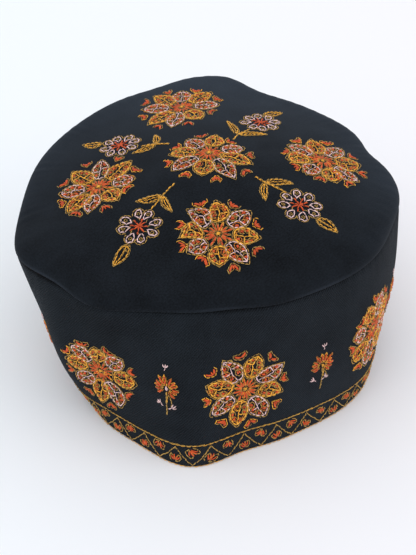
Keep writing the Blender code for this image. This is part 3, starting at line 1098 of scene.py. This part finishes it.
def silk_twist_group():
    """Twisted silk: darker grooves that wind round the stitch, on a tone of the stitch's own, which on
    the wall's rosettes and border is lifted paler as painted light.
    """
    group, into, out = new_group(
        "silk_twist", {"Colour": "NodeSocketColor"},
        {"Colour": "NodeSocketColor", "Height": "NodeSocketFloat"})
    around, along = chart_nodes(group, "thread")[1:]
    winding = math_node(group, "MULTIPLY_ADD", along, 3.0, around)
    wave = math_node(group, "SINE", math_node(group, "MULTIPLY", winding, 4 * pi))
    groove = math_node(group, "MULTIPLY_ADD", wave, 0.5, 0.5)
    fine = math_node(group, "SINE", math_node(group, "MULTIPLY", winding, 22 * pi))
    height = math_node(group, "MULTIPLY_ADD", fine, 0.15, groove)
    level = math_node(group, "MULTIPLY_ADD", attribute_node(group, "tone"), 0.5, 0.62)
    shade = math_node(group, "MULTIPLY_ADD", height, 0.3, level)
    scale = group.nodes.new("ShaderNodeVectorMath")
    scale.operation = "SCALE"
    group.links.new(into.outputs["Colour"], scale.inputs[0])
    group.links.new(shade, scale.inputs["Scale"])
    group.links.new(scale.outputs[0], out.inputs["Colour"])
    group.links.new(height, out.inputs["Height"])
    return group


def thread_material(name, colour, group):
    """Silk thread of one colour."""
    material, tree, shader = new_material(name)
    silk = tree.nodes.new("ShaderNodeGroup")
    silk.node_tree = group
    set_sockets(silk, {"Colour": (*colour, 1.0)})
    add_bump(tree, shader, silk.outputs["Height"], 0.4, 0.05)
    tree.links.new(silk.outputs["Colour"], shader.inputs["Base Color"])
    set_sockets(shader, {
        "Roughness": 0.5, "Specular IOR Level": 0.3, "Sheen Weight": 0.1, "Sheen Roughness": 0.4})
    return material


def twill_group():
    """Twill: diagonal ribs of short yarns, mottled softly, paler where the cloth is rubbed and where
    light is painted on, darker where shade is painted on.
    """
    group, into, out = new_group(
        "cotton_twill", {"Rib Spacing": "NodeSocketFloat", "Rib Contrast": "NodeSocketFloat"},
        {"Shade": "NodeSocketFloat", "Height": "NodeSocketFloat"})
    place, right, up = chart_nodes(group, "weave")
    across = math_node(group, "MULTIPLY_ADD", noise_node(group, place, 0.35, 2.0), 0.9, up)
    ribs = math_node(group, "DIVIDE", across, into.outputs["Rib Spacing"])
    wave = math_node(group, "SINE", math_node(group, "MULTIPLY", ribs, 2 * pi))
    rib = math_node(group, "MULTIPLY_ADD", wave, 0.5, 0.5)
    shifted = math_node(group, "MULTIPLY_ADD", math_node(group, "FLOOR", ribs), 0.37, right)
    yarn = math_node(group, "SINE", math_node(group, "MULTIPLY", shifted, 2 * pi / YARN_LENGTH))
    height = math_node(group, "MULTIPLY_ADD", yarn, 0.18, rib)
    mottle = noise_node(group, place, 0.06, 5.0)
    fuzz = noise_node(group, place, 1.1, 3.0)
    shade = math_node(group, "MULTIPLY", height, into.outputs["Rib Contrast"])
    shade = math_node(group, "MULTIPLY_ADD", mottle, 0.95, shade)
    shade = math_node(group, "MULTIPLY_ADD", fuzz, 1.2, shade)
    shade = math_node(group, "ADD", shade, -0.6)
    # This attribute holds rubbing and also painted highlights, painted sheen and painted shade, as paler
    # or darker cloth
    shade = math_node(group, "MULTIPLY_ADD", attribute_node(group, "wear_and_painted_light"), 0.35, shade)
    shade = math_node(group, "MAXIMUM", shade, -0.1)
    group.links.new(shade, out.inputs["Shade"])
    group.links.new(height, out.inputs["Height"])
    return group


def twill_material(name, pale, contrast, group):
    """Black cotton twill between two near-blacks; contrast is how much paler its ribs are."""
    material, tree, shader = new_material(name)
    twill = tree.nodes.new("ShaderNodeGroup")
    twill.node_tree = group
    set_sockets(twill, {"Rib Spacing": RIB_SPACING, "Rib Contrast": contrast})
    blend = tree.nodes.new("ShaderNodeMix")
    blend.data_type = "RGBA"
    blend.clamp_factor = False
    colour_in = {socket.identifier: socket for socket in blend.inputs}
    colour_in["A_Color"].default_value = (*TWILL_DARK, 1.0)
    colour_in["B_Color"].default_value = (*pale, 1.0)
    tree.links.new(twill.outputs["Shade"], colour_in["Factor_Float"])
    colour_out = {socket.identifier: socket for socket in blend.outputs}
    tree.links.new(colour_out["Result_Color"], shader.inputs["Base Color"])
    add_bump(tree, shader, twill.outputs["Height"], 1.5 * contrast, 0.25)
    set_sockets(shader, {
        "Roughness": 0.85, "Specular IOR Level": 0.1, "Sheen Weight": 0.02,
        "Sheen Roughness": 0.5, "Sheen Tint": (0.75, 0.85, 1.0, 1.0)})
    return material


def add_floor():
    """A plain pale floor, a little cooler on the left and warmer on the right."""
    material, tree, shader = new_material("pale_floor")
    place = tree.nodes.new("ShaderNodeTexCoord").outputs["Object"]
    split = tree.nodes.new("ShaderNodeSeparateXYZ")
    tree.links.new(place, split.inputs[0])
    ramp = tree.nodes.new("ShaderNodeValToRGB")
    ramp.color_ramp.elements[0].color = FLOOR_LEFT
    ramp.color_ramp.elements[1].color = FLOOR_RIGHT
    uneven = math_node(tree, "MULTIPLY_ADD", noise_node(tree, place, 2.0, 2.0), 0.3, 0.35)
    across = math_node(tree, "MULTIPLY_ADD", split.outputs["X"], 2.2, uneven)
    tree.links.new(across, ramp.inputs["Fac"])
    tree.links.new(ramp.outputs["Color"], shader.inputs["Base Color"])
    set_sockets(shader, {"Roughness": 0.9})
    mesh = bpy.data.meshes.new("floor")
    corners = [(x * FLOOR_REACH, y * FLOOR_REACH, 0) for x, y in ((-1, -1), (1, -1), (1, 1), (-1, 1))]
    mesh.from_pydata(corners, [], [(0, 1, 2, 3)])
    mesh.materials.append(material)
    floor = bpy.data.objects.new("floor", mesh)
    bpy.context.scene.collection.objects.link(floor)


def add_studio():
    """Soft lights that face the cap, and a pale surrounding."""
    world = bpy.data.worlds.new("studio")
    world.use_nodes = True
    set_sockets(world.node_tree.nodes["Background"], {"Color": SKY_COLOUR, "Strength": SKY_STRENGTH})
    bpy.context.scene.world = world
    for chart in LIGHTS:
        data = bpy.data.lights.new(chart.name, "AREA")
        data.energy = chart.strength
        data.color = chart.colour
        data.size = chart.size
        light = bpy.data.objects.new(chart.name, data)
        light.location = chart.place
        light.rotation_euler = (Vector(chart.place) - LIGHTS_AIM).to_track_quat("Z", "Y").to_euler()
        bpy.context.scene.collection.objects.link(light)
    bpy.context.scene.view_settings.view_transform = "Standard"


def add_camera():
    """The camera at the picture's angle, rolled a little, looking at the middle of the cap."""
    back = Vector((0.0, -cos(CAMERA_ELEVATION), sin(CAMERA_ELEVATION)))
    target = CAMERA_TARGET - Vector(MIDDLE)
    data = bpy.data.cameras.new("camera")
    data.sensor_width = SENSOR_WIDTH
    data.lens = FOCAL_LENGTH_PIXELS / PICTURE_HEIGHT_PIXELS * SENSOR_WIDTH
    data.clip_start = 0.01
    camera = bpy.data.objects.new("camera", data)
    look = back.to_track_quat("Z", "Y").to_matrix().to_4x4() @ Matrix.Rotation(CAMERA_ROLL, 4, "Z")
    camera.matrix_world = Matrix.Translation((target + back * CAMERA_DISTANCE) * MM) @ look
    bpy.context.scene.collection.objects.link(camera)
    bpy.context.scene.camera = camera


def main():
    """Dress the frame."""
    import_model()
    add_camera()
    add_studio()
    add_floor()
    twill = twill_group()
    pieces = [
        add_crown_cloth(twill_material("crown_twill", CROWN_TWILL_PALE, CROWN_RIB_CONTRAST, twill)),
        add_wall_cloth(twill_material("wall_twill", WALL_TWILL_PALE, WALL_RIB_CONTRAST, twill)),
    ]
    silk = silk_twist_group()
    threads = [thread_material(name, colour, silk) for name, colour in THREADS]
    crown_work = [(flower.name, rosette, (flower,)) for flower in CROWN_ROSETTES]
    crown_work += [(sprig.name, crown_sprig, (sprig,)) for sprig in CROWN_SPRIGS]
    rosette_work = [(flower.name, rosette, (flower,)) for flower in all_wall_rosettes()]
    sprig_work = [(sprig.name, wall_sprig, (sprig,)) for sprig in all_wall_sprigs()]
    border_work = [("border_lines", border_lines, ()), ("border_buds", border_buds, ())]
    groups = (
        (crown_work, crown_surface, "crown_twill", 0),
        (rosette_work, wall_surface, "wall_twill", WALL_PAINTED_LIGHT_TONES),
        (sprig_work, wall_surface, "wall_twill", 0),
        (border_work, wall_surface, "wall_twill", WALL_PAINTED_LIGHT_TONES),
    )
    for work, surface, slot, painted_light_lift in groups:
        for name, sew, chart in work:
            needle = Needle(len(pieces), painted_light_lift)
            sew(needle, *chart)
            piece = add_stitches(name, needle, surface, threads)
            pieces.append(piece)
    for piece in pieces:
        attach(piece, "root")


main()
